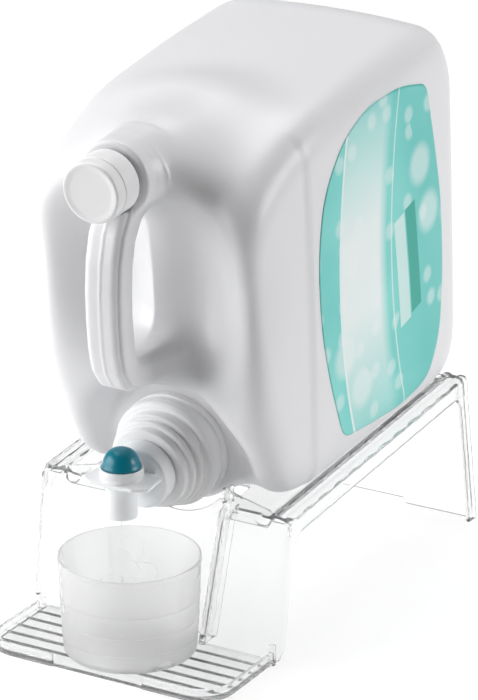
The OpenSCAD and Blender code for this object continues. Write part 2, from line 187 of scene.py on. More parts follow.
def skin(name, form, axes, matrix, snap=3):
    """Surface nets over a signed distance form, its points snapped onto the form."""
    step = max(np.diff(a).min() for a in axes)
    n = [len(a) for a in axes]
    x, y, z = np.meshgrid(*axes, indexing="ij", sparse=True)
    f = form(x + 0 * y + 0 * z, y + 0 * x + 0 * z, z + 0 * x + 0 * y)
    total = np.zeros((n[0] - 1, n[1] - 1, n[2] - 1, 3))
    count = np.zeros((n[0] - 1, n[1] - 1, n[2] - 1))
    crossings = []
    for axis in range(3):
        a = [slice(None)] * 3
        b = [slice(None)] * 3
        a[axis], b[axis] = slice(0, -1), slice(1, None)
        fa, fb = f[tuple(a)], f[tuple(b)]
        idx = np.argwhere((fa < 0) != (fb < 0))
        o = [i for i in range(3) if i != axis]
        keep = (idx[:, o[0]] > 0) & (idx[:, o[0]] < n[o[0]] - 1)
        keep &= (idx[:, o[1]] > 0) & (idx[:, o[1]] < n[o[1]] - 1)
        idx = idx[keep]
        va, vb = fa[tuple(idx.T)], fb[tuple(idx.T)]
        place = idx.astype(float)
        place[:, axis] += va / (va - vb)
        for d0 in (0, 1):
            for d1 in (0, 1):
                cell = idx.copy()
                cell[:, o[0]] -= d0
                cell[:, o[1]] -= d1
                np.add.at(total, tuple(cell.T), place)
                np.add.at(count, tuple(cell.T), 1)
        crossings.append((axis, o, idx, va < 0))
    cells = np.argwhere(count > 0)
    number = np.full(count.shape, -1)
    number[tuple(cells.T)] = np.arange(len(cells))
    points = total[tuple(cells.T)] / count[tuple(cells.T)][:, None]
    points = np.stack([np.interp(points[:, i], np.arange(n[i]), axes[i]) for i in range(3)], 1)
    faces = []
    for axis, o, idx, out_ahead in crossings:
        ring = []
        for d0, d1 in ((0, 0), (1, 0), (1, 1), (0, 1)):
            cell = idx.copy()
            cell[:, o[0]] -= d0
            cell[:, o[1]] -= d1
            ring.append(number[tuple(cell.T)])
        quad = np.stack(ring, 1)
        flip = out_ahead if axis != 1 else ~out_ahead
        quad[~flip] = quad[~flip][:, ::-1]
        faces.append(quad)
    for _ in range(snap):
        d = form(*points.T)
        e = 0.05
        grad = np.stack([
            form(*(points + np.eye(3)[i] * e).T) - form(*(points - np.eye(3)[i] * e).T)
            for i in range(3)], 1) / (2 * e)
        pull = d / np.maximum((grad ** 2).sum(1), 0.25)
        points -= np.clip(pull, -step, step)[:, None] * grad
    return new_object(name, points, np.concatenate(faces).tolist(), matrix)


def rounded(outline, steps=5):
    """An outline of (r, z, corner radius) turned into points with its corners rounded."""
    out = []
    n = len(outline)
    for i, (r, z, c) in enumerate(outline):
        p = np.array([r, z], float)
        if c <= 0 or i in (0, n - 1):
            out.append(tuple(p))
            continue
        a = np.array(outline[i - 1][:2], float) - p
        b = np.array(outline[i + 1][:2], float) - p
        la, lb = np.linalg.norm(a), np.linalg.norm(b)
        c = min(c, 0.45 * la, 0.45 * lb)
        start, end = p + a / la * c, p + b / lb * c
        for t in np.linspace(0, 1, steps):
            out.append(tuple((1 - t) ** 2 * start + 2 * t * (1 - t) * p + t * t * end))
    return out


def lathe(name, outline, matrix, segments):
    """Turns a rounded outline about Z. Points on the axis close the ends."""
    profile = rounded(outline)
    points, rings = [], []
    for r, z in profile:
        if r < 1e-6:
            rings.append([len(points)])
            points.append((0, 0, z))
            continue
        ring = []
        for s in range(segments):
            a = 2 * math.pi * s / segments
            ring.append(len(points))
            points.append((r * math.cos(a), r * math.sin(a), z))
        rings.append(ring)
    faces = []
    for low, high in zip(rings, rings[1:]):
        for s in range(segments):
            t = (s + 1) % segments
            if len(low) == 1 and len(high) == 1:
                continue
            if len(low) == 1:
                faces.append((low[0], high[t], high[s]))
            elif len(high) == 1:
                faces.append((low[s], low[t], high[0]))
            else:
                faces.append((low[s], low[t], high[t], high[s]))
    obj = new_object(name, points, faces, matrix)
    mesh = bmesh.new()
    mesh.from_mesh(obj.data)
    bmesh.ops.recalc_face_normals(mesh, faces=mesh.faces)
    mesh.to_mesh(obj.data)
    mesh.free()
    return obj


# ---------- jug ----------
def crown(y, z):
    return 3 * np.clip(1 - ((y + 75) / 140) ** 2, 0, 1) * np.clip(1 - ((z - 110) / 130) ** 2, 0, 1)


def outline_form(y, z):
    """The body seen from the side, without its sides."""
    front = smax(
        smax(slope(y, z, -203, 208, 134), slope(y, z, -241, 140, 181), 44),
        smax(slope(y, z, -229, 90, 198), slope(y, z, -199, 10, 212), 24), 44)
    upper = smax(z - JUG_TOP, slope(y, z, -120, JUG_TOP, 99), 20)
    body = smax(smax(front, upper, 40), JUG_BOTTOM - z, 24)
    return smax(body, y - 45, 30 + 12 * np.clip((z - 150) / 60, 0, 1))


HANDLE = [(-226, 200), (-240, 190), (-248.5, 178), (-253, 164), (-255.6, 146), (-256.2, 128),
          (-255.8, 110), (-253.6, 98), (-249, 90.5), (-241, 87), (-226, 86), (-204, 85)]
HOLE_MIDDLE = (-205.0, 140.0)


def handle_form(x, y, z):
    """A flat round-edged bar bent along the handle, with a seam and two edge grooves."""
    best = np.full(np.broadcast(y, z).shape, 1e9)
    outer = np.zeros(best.shape, bool)
    for (y0, z0), (y1, z1) in zip(HANDLE, HANDLE[1:]):
        ey, ez = y1 - y0, z1 - z0
        t = np.clip(((y - y0) * ey + (z - z0) * ez) / (ey * ey + ez * ez), 0, 1)
        py, pz = y0 + t * ey, z0 + t * ez
        away = np.hypot(y - py, z - pz)
        nearer = away < best
        best = np.where(nearer, away, best)
        side = (y - py) * (HOLE_MIDDLE[0] - py) + (z - pz) * (HOLE_MIDDLE[1] - pz) < 0
        outer = np.where(nearer, side, outer)
    ax = np.abs(x)
    # the foot of the handle widens into the body
    wide = 13.0 + 5.0 * np.clip((y + 243) / 34, 0, 1) ** 2 * np.clip((125 - z) / 20, 0, 1)
    r = 6.5
    qx, qn = ax - wide + r, best - 10.2 + r
    d = np.hypot(np.maximum(qx, 0), np.maximum(qn, 0)) + np.minimum(np.maximum(qx, qn), 0) - r
    groove = 0.9 * np.exp(-((ax - wide + 2.0) / 0.75) ** 2) * outer * (best > 3)
    seam = 0.45 * np.exp(-(x / 0.8) ** 2) * outer
    return d + groove - seam


POCKET = (29, -256, 128), (34, 63, 66)  # centre and radii of the hollow beside the handle
HOLE_Y, HOLE_Z = (228, 18), (134, 52)  # middle and half size of the hole through it
VENT_FLANGE_R, VENT_NECK_R, VENT_BEAD_R = 23.6, 14.2, 15.1
BEAD_R, NECK_R = 39.3, 30.5


def jug_form(x, y, z):
    """The jug with its handle, pockets, shoulders and both necks, in the jug frame."""
    ax = np.abs(x)
    # the top is crowned across and the flat side panels stand proud of the front corners
    dome = DOME * np.clip(1 - (x / SIDE_X) ** 2, 0, 1) * np.clip((z - 120) / 100, 0, 1)
    side = ax - SIDE_X - crown(y, z) + 1.6 * np.clip(-(y + 152) / 6, 0, 1)
    d = smax(outline_form(y, z - dome), side, 21)
    spout = smin(
        rod(x, y, z, (0, -226, 211), (0, -200, 208), 22),
        rod(x, y, z, (0, -192, 192), (0, -150, 196), 36), 24)
    d = smin(d, spout, 40)
    d = smax(d, -egg(ax, y, z, *POCKET), 38)
    hole = smax(np.abs(y + HOLE_Y[0]) - HOLE_Y[1], np.abs(z - HOLE_Z[0]) - HOLE_Z[1], 22)
    hole = smax(hole, ax - 40, 30)
    d = smax(d, -hole, 16)
    d = smin(d, rod(x, y, z, (0, -166, 26), (0, -148, 31), 38), 24)
    tx, ty, tz = into(IN_JUG.inverted() @ IN_TAP, x, y, z)
    tr = np.hypot(tx, ty)
    d = smax(d, -smax(tr - 50, -20.6 - tz, 16), 20)
    d = smax(d, JUG_BOTTOM - z + 0.8 * np.minimum(y + 166, 0), 5)
    arm = np.clip((y + 246) / 16, 0, 1) * np.clip((125 - z) / 12, 0, 1)
    d = smin(d, handle_form(x, y, z), 7 + 15 * arm)
    # flange, neck and thread under the vent cap, with two fine arcs on the ridge behind
    vr = np.hypot(x, z - VENT[2])
    out = VENT[1] - y
    for place in (-38, -44):
        d = d - 0.45 * np.exp(-((out - place) / 0.9) ** 2) * np.clip((z - 205) / 8, 0, 1) * (vr < 32)
    d = smin(d, disc(vr, out, VENT_FLANGE_R, -60, -27, 2), 4)
    d = smax(d, -smax(vr - 20.8, -26.4 - out, 1), 1)
    d = smin(d, disc(vr, out, VENT_NECK_R, -40, -3, 0.8), 0.5)
    d = np.minimum(d, disc(vr, out, VENT_BEAD_R, -12, -10, 0.8))
    # bead and neck under the tap closure
    d = smin(d, smax(tr - BEAD_R + 0.06 * tz, np.maximum(-40 - tz, tz + 16.4), 7), 10)
    d = smin(d, disc(tr, tz, NECK_R, -40, 0, 1.0), 1.0)
    return d


def make_jug():
    x = spaced((-88, -18, 2.0), (18, 0.9), (88, 2.0))
    y = spaced((-276, -218, 0.9), (-180, 1.6), (50, 2.2))
    z = spaced((-30, 70, 2.0), (100, 1.4), (242, 2.0))
    return skin("jug", jug_form, (x, y, z), IN_JUG)


# ---------- labels ----------
LABEL = [
    (-2, 203, 8), (-36, 213, 30), (-80, 214, 30), (-112, 203, 30), (-138, 176, 30),
    (-147, 138, 40), (-146, 92, 40), (-136, 50, 40), (-120, 7, 9), (-84, 2, 60),
    (-40, -4, 40), (-6, 1, 24), (10, 26, 24), (15, 66, 40), (14, 120, 40), (5, 168, 40)]


def side_surface(y, z):
    """How far out the side panel stands at each (y, z), in the jug frame."""
    x = np.full(y.shape, 90.0)
    for _ in range(24):
        x -= 0.9 * jug_form(x, y, z)
    return x


def make_label(name, side):
    """A printed film on the side panel: the outline filled with a grid that follows the jug."""
    edge = rounded([LABEL[-1]] + LABEL + [LABEL[0]], 7)[1:-1]
    edge = np.array(edge)
    middle = np.array((-64.0, 106.0))
    rings = [0.0] + list(np.linspace(0.08, 0.96, 18)) + [0.985, 1.0]
    flat = [middle[None]]
    for q in rings[1:]:
        flat.append(middle + q * (edge - middle))
    flat = np.concatenate(flat)
    n = len(edge)
    face_x = side_surface(flat[:, 0], flat[:, 1])
    top = np.column_stack([side * (face_x + 0.4), flat])
    under = np.column_stack([side * (face_x - 0.3), flat])
    faces = [(0, 1 + (e + 1) % n, 1 + e) for e in range(n)]
    for q in range(len(rings) - 2):
        a, b = 1 + q * n, 1 + (q + 1) * n
        faces += [(a + e, a + (e + 1) % n, b + (e + 1) % n, b + e) for e in range(n)]
    base = len(top)
    faces += [tuple(i + base for i in reversed(f)) for f in list(faces)]
    rim = 1 + (len(rings) - 2) * n
    faces += [(rim + e, rim + (e + 1) % n, base + rim + (e + 1) % n, base + rim + e)
              for e in range(n)]
    obj = new_object(name, np.concatenate([top, under]), faces, IN_JUG)
    work = bmesh.new()
    work.from_mesh(obj.data)
    bmesh.ops.recalc_face_normals(work, faces=work.faces)
    # flat label coordinates in millimetres go into the UVs, for the printed pattern
    layer = work.loops.layers.uv.new("print")
    both = np.concatenate([flat, flat])
    for f in work.faces:
        for loop in f.loops:
            loop[layer].uv = both[loop.vert.index] / 100.0
    work.to_mesh(obj.data)
    work.free()
    return obj


# ---------- tap ----------
def closure_form(x, y, z):
    """The tap closure: skirt, grooves, raised rings and front collar, outermost first."""
    r = np.hypot(x, y)
    d = disc(r, z, 36.2, -16, -10.4, 0.8)
    d = np.minimum(d, disc(r, z, 34.9, -12, 1.4, 2.0))
    d = np.minimum(d, disc(r, z, 35.6, -7.4, -0.2, 1.0))
    d = np.minimum(d, disc(r, z, 31.4, -2, 9.0, 1.2))
    d = np.minimum(d, disc(r, z, 28.0, 4, 12, 0.6))
    d = np.minimum(d, disc(r, z, 29.4, 11.0, 14.8, 1.4))
    d = np.minimum(d, disc(r, z, 26.4, 10, 20.4, 1.2))
    # shallow window in the side of the stepped ring
    angle = np.degrees(np.arctan2(y, x))
    arc = np.maximum(np.abs(angle + 4) - 30, 0) * 0.55
    window = np.hypot(np.maximum(np.abs(z - 5.0) - 1.5, 0), arc) - 0.5
    d = smax(d, -np.maximum(window, 30.4 - r), 0.3)
    # skirt bore over the neck, and the passage for the tap
    hollow = np.maximum(r - 30.9, z - 0.2)
    return smax(smax(d, -hollow, 0.5), 15.05 - r, 0.4)


def make_closure():
    across = spaced((-38, 38, 0.8))
    return skin("tap_closure_ring", closure_form, [across, across, spaced((-18, 22, 0.6))], IN_TAP)


WING = [
    (0, -13.6), (15, -13.2), (23.5, -7.5), (21.5, 11.2), (14.2, 14.2), (13.2, 17), (0, 17)]


def tap_form(x, y, z):
    """The tap body in the nozzle frame: barrel, wings, link and boss."""
    r = np.hypot(x, y)
    d = disc(r, z, 9.9, NOZZLE_Z, 116, 0.8)
    cone = smax(r - 13.6 + 0.8 * np.maximum(123.2 - z, 0), np.maximum(116 - z, z - 128.2), 0.9)
    d = smin(d, cone, 1.5)
    wing = [(u, v) for u, v in WING] + [(-u, v) for u, v in WING[-2:0:-1]]
    plate = smax(poly(x, y, wing), np.abs(z - 119.5) - 1.15, 0.9)
    d = smin(d, plate, 2.2)
    link = smax(np.hypot(x, z - 113.6) - 8.6, np.maximum(y - 23, 2 - y), 1.0)
    d = smin(d, link, 2.5)
    tx, ty, tz = into(IN_NOZZLE.inverted() @ IN_TAP, x, y, z)
    tr = np.hypot(tx, ty)
    boss = disc(tr, tz, 20.8, 20.6, 33.3, 2.2)
    boss = smin(boss, disc(tr, tz, 14.9, 3, 22, 0.8), 0.6)
    d = smin(d, boss, 1.6)
    well = np.maximum(r - 12.4, 123.1 - z)
    mouth = np.maximum(r - 8.0, z - 103)
    return smax(smax(d, -well, 0.4), -mouth, 0.5)


def make_tap():
    x = spaced((-24, 24, 0.45))
    y = spaced((-16, 16, 0.45), (56, 0.7))
    z = spaced((90, 140, 0.6))
    return skin("tap_barrel", tap_form, (x, y, z), IN_NOZZLE)


def make_button():
    outline = [
        (0, 140.3, 0), (3.6, 140.1, 1.5), (6.9, 138.8, 2), (9.4, 136.4, 2.2), (10.9, 133.4, 2),
        (11.5, 131, 1.2), (12.0, 129.9, 0.6), (12.3, 129.2, 0.4), (12.3, 128.5, 0.3),
        (11.9, 128.2, 0.2), (11.9, BUTTON_FOOT, 0.2), (0, BUTTON_FOOT, 0)]
    return lathe("push_button_dome", outline, IN_NOZZLE, 112)


def make_vent_cap():
    outline = [
        (0, -0.9, 0), (14.5, -0.8, 3), (17.3, -0.2, 0.8), (18.6, -0.3, 1.0), (19.3, -1.6, 1.0),
        (19.5, -8.0, 0.5), (19.1, -8.5, 0.25), (19.1, -9.1, 0.25), (19.7, -9.5, 0.4),
        (19.7, -23.6, 0.6), (19.0, -24, 0.3), (17.1, -24, 0.3), (17.0, -2, 0.6), (0, -2, 0)]
    return lathe("vent_cap_shell", outline, IN_VENT, 128)


# ---------- cup ----------
def make_cup():
    steps = [(12.0, 2.3), (24.0, 1.55), (38.0, 0.95)]
    outline = [(0, 1.0, 0), (32, 0.9, 4), (34, 0, 0.8), (CUP_R - 4.6, 0, 1.0), (CUP_R - 3.1, 1.6, 1.2)]
    for z, inset in steps:
        outline += [(CUP_R - inset - 0.25, z - 0.4, 0.2), (CUP_R - inset + 0.25, z, 0.2),
                    (CUP_R - inset - 0.2, z + 0.5, 0.2)]
    outline += [
        (CUP_R - 0.5, CUP_H - 3.6, 0.3), (CUP_R, CUP_H - 3.0, 0.4), (CUP_R, CUP_H, 0.6),
        (CUP_R - 1.5, CUP_H, 0.6), (CUP_R - 1.9, CUP_H - 3.0, 0.4), (CUP_R - 4.9, 2.6, 1.4),
        (0, 2.5, 0)]
    return lathe("dosing_cup_shell", outline, IN_ROW @ shift(-1, -43, CUP_Z), 160)


# ---------- cradle ----------
RAIL = [
    (HALF, -FLANGE), (HALF, -1), (HALF - 1, 0), (HALF - 5, 0), (HALF - 6.2, -1.4),
    (HALF - 10.2, -1.4), (HALF - 11.4, 0), (HALF - 15, 0), (HALF - 18.5, -4.4),
    (HALF - 24, -4.4), (HALF - 24, -4.4 - WALL), (HALF - 17, -4.4 - WALL),
    (HALF - 13.5, -WALL), (HALF - WALL, -WALL - 1.2), (HALF - WALL, -FLANGE)]


def cradle_form(x, y, z):
    """The cradle, with y from the front end of the rails and z from the floor."""
    ax = np.abs(x)
    ry = y * math.cos(TILT) + (z - RAIL_FRONT) * math.sin(TILT)
    rz = -y * math.sin(TILT) + (z - RAIL_FRONT) * math.cos(TILT)
    rail_end = RAIL_LEN / math.cos(TILT)
    d = smax(poly(ax, rz, RAIL), np.maximum(-ry, ry - rail_end), 2.4)
    # bed under the jug, open in the middle and round the closure
    bed = smax(np.maximum(ax - HALF + 21, 6 - ry), np.abs(rz + 4.4 + WALL / 2) - WALL / 2, 2.2)
    bed = np.maximum(bed, ry - rail_end + 1)
    window = smax(ax - 40, np.abs(ry - 114) - 70, 10)
    bed = smax(bed, -window, 2.2)
    bed = smax(bed, -smax(ax - 39, ry - 37, 6), 2.2)
    d = smin(d, bed, 2.0)
    # front panel: wings, returns and the recessed middle
    fa = math.atan(FRONT_SPLAY / RAIL_FRONT)
    fz = (y + FRONT_SPLAY) * math.sin(fa) + z * math.cos(fa)
    fn = -(y + FRONT_SPLAY) * math.cos(fa) + z * math.sin(fa)
    mid = 31 + 8.4 * np.clip(fz / (RAIL_FRONT - 1.6), 0, 1.2)
    wing = smax(np.abs(fn - WALL / 2) - WALL / 2, np.maximum(ax - HALF, mid - ax), 2.4)
    corner = np.hypot(np.minimum(HALF - ax - 7, 0), np.minimum(fz - 7, 0)) - 7
    wing = smax(wing, corner, 2.2)
    fold = smax(np.abs(ax - mid - WALL / 2) - WALL / 2, np.maximum(fn - WALL, -16 - fn), 2.2)
    back = smax(np.abs(fn + 16 - WALL / 2) - WALL / 2, ax - mid - WALL, 2.2)
    edge = smax(np.abs(ax - HALF + WALL / 2) - WALL / 2, np.maximum(fn - WALL, -4 - fn), 2.2)
    edge = smax(edge, 8 - fz, 2)
    panel = smin(smin(wing, fold, 2), smin(back, edge, 2), 2.0)
    notch = np.hypot(x, fz - 119) - 40
    panel = smax(smax(panel, -notch, 2.2), z - RAIL_FRONT + 3.2, 2.2)
    panel = smax(panel, -z, 2.2)
    d = smin(d, panel, 2.2)
    # stop wall and upright fin either side of the neck
    stop_line = [(39.4, 82.5), (HALF - 18, 82.5), (HALF - 16, 91.6), (HALF - 17, 94.6),
                 (48, 100.6), (42.4, 102.8), (39.4, 102.4)]
    stop = smax(poly(ax, z, stop_line), np.abs(y - 2.1) - WALL / 2, 2.2)
    fin = smax(np.abs(ax - 40.9) - WALL / 2, np.maximum(np.abs(y - 6.4) - 5.6, np.abs(z - 93) - 9), 2.4)
    d = smin(d, smin(stop, fin, 2.0), 2.2)
    # rear panel and its edge flanges
    rail_rear = RAIL_FRONT + RAIL_LEN * math.tan(TILT)
    ra = math.atan(REAR_SPLAY / rail_rear)
    yy = y - RAIL_LEN - REAR_SPLAY
    gz = -yy * math.sin(ra) + z * math.cos(ra)
    gn = -yy * math.cos(ra) - z * math.sin(ra)
    plate = smax(np.abs(gn - WALL / 2) - WALL / 2, ax - HALF, 2.4)
    side = smax(np.abs(ax - HALF + WALL / 2) - WALL / 2, np.maximum(gn - 11, -gn), 2.2)
    legs = smin(plate, side, 2)
    legs = smax(legs, -np.maximum(ax - 36, gz - 4.5), 2.4)
    legs = smax(smax(legs, z - rail_rear + 3.0, 2.2), -z, 2.2)
    d = smin(d, legs, 2.2)
    # rounded webs where the flanges turn into the legs
    low = rz + FLANGE
    web_front = smax(np.abs(ax - HALF + WALL / 2) - WALL / 2, corner_web(fn + 4, low, 13), 2.2)
    web_rear = smax(np.abs(ax - HALF + WALL / 2) - WALL / 2, corner_web(gn - 11, low, 9, 1), 2.2)
    return np.minimum(d, np.minimum(web_front, web_rear))


def corner_web(across, low, r, sign=-1):
    """The stuff left in a corner below a rail and behind a leg when it is filled to radius r."""
    u = across * sign
    # u grows away from the leg, low falls away from the rail
    away = np.hypot(r - u, r + low)
    inside = np.maximum(np.maximum(-u - 2, u - r), np.maximum(low - 2, -low - r))
    return np.maximum(inside, r - away)


def make_cradle():
    x = spaced((-92.1, 92.1, 1.4))
    y = spaced((-16, 256, 1.4))
    z = spaced((-1.5, 114, 1.4))
    return skin("cradle_body", cradle_form, (x, y, z), IN_ROW)


RIBS, RIB_PITCH = 6, 11.6


def shelf_plan(ax, y, inset):
    """The shelf seen from above, drawn in by inset, with rounded front corners."""
    side = ax - HALF + 6 + inset
    front = -y - 85 + inset
    r = 22 - inset
    corner = np.hypot(np.maximum(ax - HALF + 28, 0), np.maximum(-y - 63, 0)) - r
    box = np.where((ax > HALF - 28) & (-y > 63), corner, np.maximum(side, front))
    return np.maximum(box, y + 11.6)


def shelf_form(x, y, z):
    """Tray floor, rim with its gap, ribs and pegs of the shelf."""
    ax = np.abs(x)
    outer = shelf_plan(ax, y, 0)
    floor = smax(outer, np.abs(z - 1.1) - 1.1, 0.8)
    ring = smax(np.maximum(outer, -shelf_plan(ax, y, 2.4)), np.abs(z - 4) - 4, 1.2)
    ring = smax(ring, y + 13.2, 1.0)
    ring = smax(ring, -np.maximum(ax - 32, y + 70), 1.5)
    d = smin(floor, ring, 1.4)
    for k in range(RIBS):
        rib = np.maximum(np.abs(y + 24.6 + RIB_PITCH * k) - 0.8, np.abs(z - 2.7) - 0.7)
        d = smin(d, smax(rib, shelf_plan(ax, y, 3.0), 0.4), 0.7)
    peg = np.hypot(ax - HALF + 5, y + 16.4) - 2.4
    peg = smax(peg, np.maximum(-z, z - 14.2), 1.6)
    return smin(d, peg, 0.8)


def make_shelf():
    x = spaced((-87, 87, 0.9))
    y = spaced((-88, -9, 0.9))
    z = spaced((-1.5, 17, 0.7))
    return skin("cup_shelf", shelf_form, (x, y, z), IN_ROW)


# ---------- materials ----------
def material(name):
    m = bpy.data.materials.new(name)
    m.use_nodes = True
    tree = m.node_tree
    return m, tree, tree.nodes["Principled BSDF"]


def add(tree, kind, **values):
    """A node with its inputs set by name, or its properties where the name starts with p_."""
    node = tree.nodes.new(kind)
    for key, value in values.items():
        if key.startswith("p_"):
            setattr(node, key[2:], value)
            continue
        put(tree, node.inputs[key.replace("_", " ")], value)
    return node


def put(tree, socket, value):
    if isinstance(value, bpy.types.NodeSocket):
        tree.links.new(value, socket)
    else:
        socket.default_value = value


def maths(tree, kind, a, b=0.0, c=0.0, clamp=False):
    node = tree.nodes.new("ShaderNodeMath")
    node.operation = kind
    node.use_clamp = clamp
    for i, value in enumerate((a, b, c)):
        put(tree, node.inputs[i], value)
    return node.outputs[0]


def blend(tree, factor, a, b):
    node = tree.nodes.new("ShaderNodeMix")
    node.data_type = "RGBA"
    put(tree, node.inputs[0], factor)
    put(tree, node.inputs[6], a)
    put(tree, node.inputs[7], b)
    return node.outputs[2]


def srgb(r, g, b):
    def line(v):
        v /= 255
        return v / 12.92 if v <= 0.04045 else ((v + 0.055) / 1.055) ** 2.4
    return (line(r), line(g), line(b), 1.0)


def moulded(name, color, rough, sss=0.0, radius=0.004, bump=0.04, scale=900, spec=0.5):
    """Moulded plastic with a fine surface grain and slow changes in gloss."""
    m, t, p = material(name)
    coords = add(t, "ShaderNodeTexCoord").outputs["Object"]
    fine = add(t, "ShaderNodeTexNoise", Vector=coords, Scale=scale, Detail=3.0, Roughness=0.6)
    slow = add(t, "ShaderNodeTexNoise", Vector=coords, Scale=14.0, Detail=2.0)
    put(t, p.inputs["Base Color"], color)
    put(t, p.inputs["Roughness"], maths(t, "MULTIPLY_ADD", slow.outputs[0], 0.10, rough - 0.05))
    put(t, p.inputs["IOR"], 1.5)
    put(t, p.inputs["Specular IOR Level"], spec)
    if sss:
        p.subsurface_method = "BURLEY"
        put(t, p.inputs["Subsurface Weight"], sss)
        put(t, p.inputs["Subsurface Scale"], radius)
        p.inputs["Subsurface Radius"].default_value = (1.0, 0.95, 0.9)
    waves = add(t, "ShaderNodeTexNoise", Vector=coords, Scale=38.0, Detail=1.0)
    height = maths(t, "MULTIPLY_ADD", waves.outputs[0], 1.6, fine.outputs[0])
    node = add(t, "ShaderNodeBump", Strength=bump, Distance=0.0006, Height=height)
    put(t, p.inputs["Normal"], node.outputs[0])
    return m


def clear(name, color, rough=0.02, transmission=1.0, ior=1.49, alpha=1.0):
    """Clear moulded plastic."""
    m, t, p = material(name)
    coords = add(t, "ShaderNodeTexCoord").outputs["Object"]
    slow = add(t, "ShaderNodeTexNoise", Vector=coords, Scale=22.0, Detail=2.0)
    put(t, p.inputs["Base Color"], color)
    put(t, p.inputs["Roughness"], maths(t, "MULTIPLY_ADD", slow.outputs[0], rough, rough * 0.5))
    put(t, p.inputs["IOR"], ior)
    put(t, p.inputs["Transmission Weight"], transmission)
    put(t, p.inputs["Alpha"], alpha)
    node = add(t, "ShaderNodeBump", Strength=0.05, Distance=0.0008, Height=slow.outputs[0])
    put(t, p.inputs["Normal"], node.outputs[0])
    return m


def label_material():
    """Printed film: teal ground with soft light spots, two curved lines round a pale band; painted
    shade darkens it towards the rear.
    """
    m, t, p = material("label_print_and_shade")
    uv = add(t, "ShaderNodeUVMap", p_uv_map="print").outputs[0]
    cut = add(t, "ShaderNodeSeparateXYZ", Vector=uv)
    u, v = cut.outputs[0], cut.outputs[1]
    mint = srgb(132, 220, 213)
    teal = srgb(96, 203, 196)
    # a darker teal, used for painted shade towards the rear
    rear_shade_teal = srgb(66, 176, 170)
    white = srgb(238, 245, 244)
    # drifting ground tone, darker towards the rear and the foot; the darkening towards the rear is
    # painted shade
    drift = add(t, "ShaderNodeTexNoise", Vector=uv, Scale=1.6, Detail=1.0, p_noise_dimensions="2D")
    tone = maths(t, "MULTIPLY_ADD", drift.outputs[0], 1.6, -0.35, True)
    ground = blend(t, tone, mint, teal)
    # painted shade: the ground goes darker towards the rear of the label
    painted_rear_shade = maths(t, "MULTIPLY_ADD", u, 1.3, 0.85, True)
    ground = blend(t, maths(t, "MULTIPLY", painted_rear_shade, 0.45), ground, rear_shade_teal)
    # soft round spots of two sizes
    for scale, size, strength in ((2.1, 0.34, 0.5), (4.3, 0.3, 0.4)):
        cells = add(t, "ShaderNodeTexVoronoi", Vector=uv, Scale=scale, p_voronoi_dimensions="2D")
        spot = maths(t, "SUBTRACT", size, cells.outputs["Distance"])
        spot = maths(t, "MULTIPLY", spot, 7.0, 0, True)
        pick = add(t, "ShaderNodeSeparateColor", Color=cells.outputs["Color"])
        gate = maths(t, "GREATER_THAN", pick.outputs[0], 0.45)
        spot = maths(t, "MULTIPLY", maths(t, "MULTIPLY", spot, gate), strength)
        ground = blend(t, spot, ground, white)
    # pale band between two long arcs; e grows towards the rear
    bow = maths(t, "SUBTRACT", v, 1.05)
    bow = maths(t, "MULTIPLY", maths(t, "MULTIPLY", bow, bow), 0.16)
    e = maths(t, "SUBTRACT", u, bow)
    front = maths(t, "MULTIPLY", maths(t, "ADD", e, 1.22), 60, 0, True)
    rear = maths(t, "MULTIPLY", maths(t, "SUBTRACT", -0.62, e), 9, 0, True)
    band = maths(t, "MULTIPLY", front, rear)
    fade = maths(t, "ABSOLUTE", maths(t, "SUBTRACT", v, 1.1))
    fade = maths(t, "SUBTRACT", 1.25, fade, 0, True)
    ground = blend(t, maths(t, "MULTIPLY", band, maths(t, "MULTIPLY", fade, 0.95)), ground, white)
    for place, width, shine in ((-1.22, 0.011, 0.9), (-0.56, 0.008, 0.6)):
        away = maths(t, "ABSOLUTE", maths(t, "SUBTRACT", e, place))
        line = maths(t, "LESS_THAN", away, width)
        ground = blend(t, maths(t, "MULTIPLY", line, shine), ground, white)
    # slanted light tag and dark banner, both left blank
    lean = maths(t, "MULTIPLY_ADD", v, 0.10, u)
    for low_u, high_u, low_v, high_v, color, share in (
            (-0.39, -0.25, 0.60, 1.36, white, 0.6),
            (-0.235, -0.10, 0.62, 1.37, srgb(0, 164, 148), 1.0)):
        rise = maths(t, "MULTIPLY_ADD", u, -0.18, v)
        inside = share
        for value, low, high in ((lean, low_u, high_u), (rise, low_v, high_v)):
            inside = maths(t, "MULTIPLY", inside, maths(t, "GREATER_THAN", value, low))
            inside = maths(t, "MULTIPLY", inside, maths(t, "LESS_THAN", value, high))
        ground = blend(t, inside, ground, color)
    put(t, p.inputs["Base Color"], ground)
    put(t, p.inputs["Roughness"], 0.32)
    put(t, p.inputs["Specular IOR Level"], 0.35)
    grain = add(t, "ShaderNodeTexNoise", Vector=uv, Scale=90.0, Detail=2.0)
    node = add(t, "ShaderNodeBump", Strength=0.03, Distance=0.0004, Height=grain.outputs[0])
    put(t, p.inputs["Normal"], node.outputs[0])
    return m


def metal(name, color, rough):
    m, t, p = material(name)
    coords = add(t, "ShaderNodeTexCoord").outputs["Object"]
    grain = add(t, "ShaderNodeTexNoise", Vector=coords, Scale=600.0, Detail=2.0)
    put(t, p.inputs["Base Color"], color)
    put(t, p.inputs["Metallic"], 1.0)
    put(t, p.inputs["Roughness"], maths(t, "MULTIPLY_ADD", grain.outputs[0], 0.15, rough))
    return m


